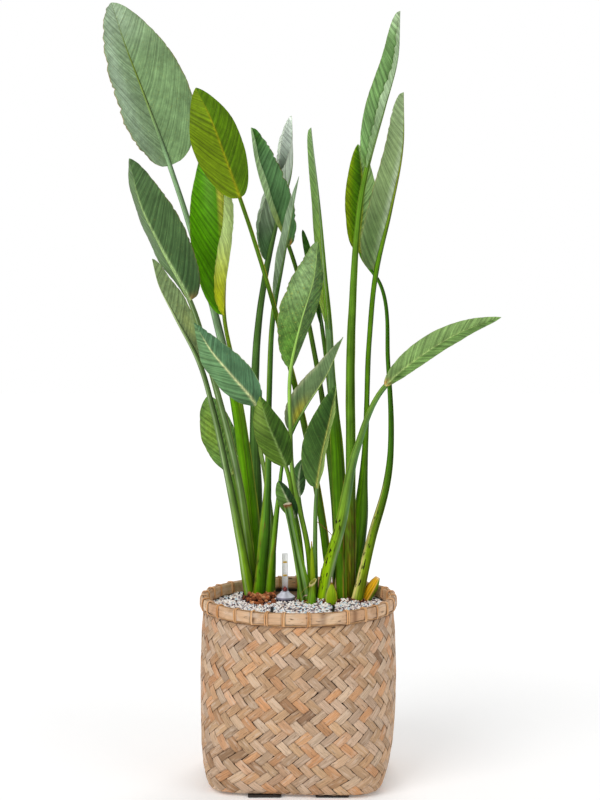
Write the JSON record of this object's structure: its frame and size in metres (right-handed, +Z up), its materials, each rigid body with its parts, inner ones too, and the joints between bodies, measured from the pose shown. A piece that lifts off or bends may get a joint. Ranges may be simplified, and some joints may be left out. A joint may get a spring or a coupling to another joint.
{
  "type": "potted bird of paradise plant",
  "caption": "Bird of paradise plant with tall stalks and long leaf blades, in clay granules and gravel with a water gauge, in a woven bamboo basket.",
  "frame": {"origin": "on the floor under the middle of the basket", "axes": "+Z up, -Y the front, +X to the right seen from the front"},
  "size_m": [0.745, 0.3728, 1.4729],
  "materials": {
    "bamboo": "satin",
    "rattan": "satin",
    "black_plastic": "matte",
    "clay_granules": "matte",
    "gravel": "matte",
    "clear_plastic": "gloss",
    "red_plastic": "gloss",
    "leaf": "satin",
    "stalk": "satin",
    "dry_sheath": "matte"
  },
  "bodies": {
    "planter": {"basket": "bamboo", "rim_outer_hoop": "bamboo", "rim_inner_hoop": "bamboo", "rim_lashing": "rattan", "foot_front_left": "black_plastic", "foot_front_right": "black_plastic", "foot_back_left": "black_plastic", "foot_back_right": "black_plastic", "liner": "black_plastic", "substrate": "clay_granules", "gravel": "gravel", "gauge_pipe": "black_plastic", "gauge_collar": "clear_plastic", "gauge_tube": "clear_plastic", "hollow_stub": "stalk", "old_cut_stalk": "stalk", "cut_sheath": "dry_sheath", "flower_bud": "stalk", "young_shoot": "stalk", "dry_bract": "dry_sheath", "left_leaf_1": "leaf", "left_leaf_2": "leaf", "left_leaf_3": "leaf", "left_leaf_4": "leaf", "left_leaf_5": "leaf", "left_leaf_6": "leaf", "left_leaf_7": "leaf", "left_leaf_8": "leaf", "left_leaf_9": "leaf", "middle_leaf_1": "leaf", "middle_leaf_2": "leaf", "middle_leaf_3": "leaf", "middle_leaf_4": "leaf", "middle_leaf_5": "leaf", "right_leaf_1": "leaf", "right_leaf_2": "leaf", "right_leaf_3": "leaf", "right_leaf_4": "leaf", "right_leaf_5": "leaf", "right_leaf_6": "leaf", "right_leaf_7": "leaf", "right_leaf_8": "leaf"},
    "float": {"gauge_float": "red_plastic"}
  },
  "joints": [
    {"name": "float_rise", "type": "slide", "parent": "planter", "child": "float", "axis": [0, 0, 1], "range_m": [0, 0.06]}
  ]
}
